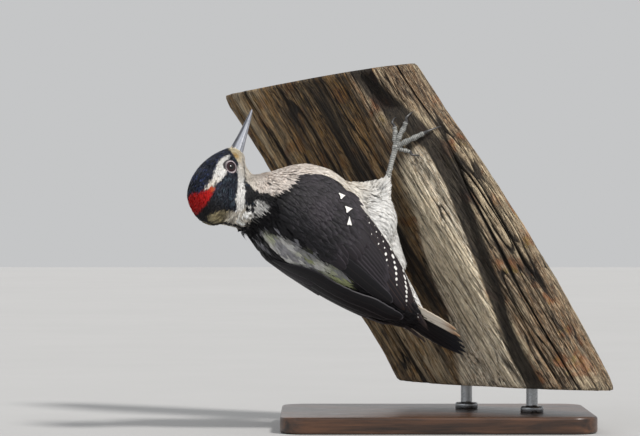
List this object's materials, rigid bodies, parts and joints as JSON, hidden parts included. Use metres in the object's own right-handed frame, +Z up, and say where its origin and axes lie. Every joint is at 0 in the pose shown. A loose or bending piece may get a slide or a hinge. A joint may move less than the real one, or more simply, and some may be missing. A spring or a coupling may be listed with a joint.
{
  "type": "male hairy woodpecker clinging to a cut length of tree trunk, life-size model on a display stand",
  "caption": "Life-size woodpecker with a red nape patch, clinging head-high to a leaning cut length of dead tree trunk, on a flat base with short rods.",
  "frame": {"origin": "centre of the underside of the stand's base", "axes": "+Z up, +X to the right and +Y away from an onlooker who faces the bird's right side, with its head at the -X end"},
  "size_m": [0.2555, 0.2018, 0.2241],
  "materials": {
    "black_plumage": "matt black flight feathers, wing spots left to the visual model",
    "crown_plumage": "black plumage with a faint gloss",
    "white_plumage": "soft off-white plumage",
    "horn": "smooth slate-grey horn",
    "eye": "dark brown, wet gloss",
    "scales": "grey scaly skin",
    "claw": "smooth dark horn",
    "weathered_wood": "dead wood, furrowed, bare and weathered",
    "stand_wood": "dark satin varnish",
    "steel": "satin"
  },
  "bodies": {
    "root": {"head": "crown_plumage", "neck": "white_plumage", "body": "black_plumage", "tail": "black_plumage", "wing_right_coverts": "black_plumage", "wing_right_flight": "black_plumage", "wing_left_coverts": "black_plumage", "wing_left_flight": "black_plumage", "bill_upper": "horn", "bill_lower": "horn", "eye_right": "eye", "eye_left": "eye", "thigh_right": "white_plumage", "thigh_left": "white_plumage", "leg_right": "scales", "leg_left": "scales", "foot_right": "scales", "foot_left": "scales", "perch_trunk": "weathered_wood", "stand_base": "stand_wood", "stand_rod_front": "steel", "stand_rod_back": "steel", "claw_right_hallux": "claw", "claw_right_inner": "claw", "claw_right_middle": "claw", "claw_right_outer": "claw", "claw_left_hallux": "claw", "claw_left_inner": "claw", "claw_left_middle": "claw", "claw_left_outer": "claw"}
  },
  "joints": []
}
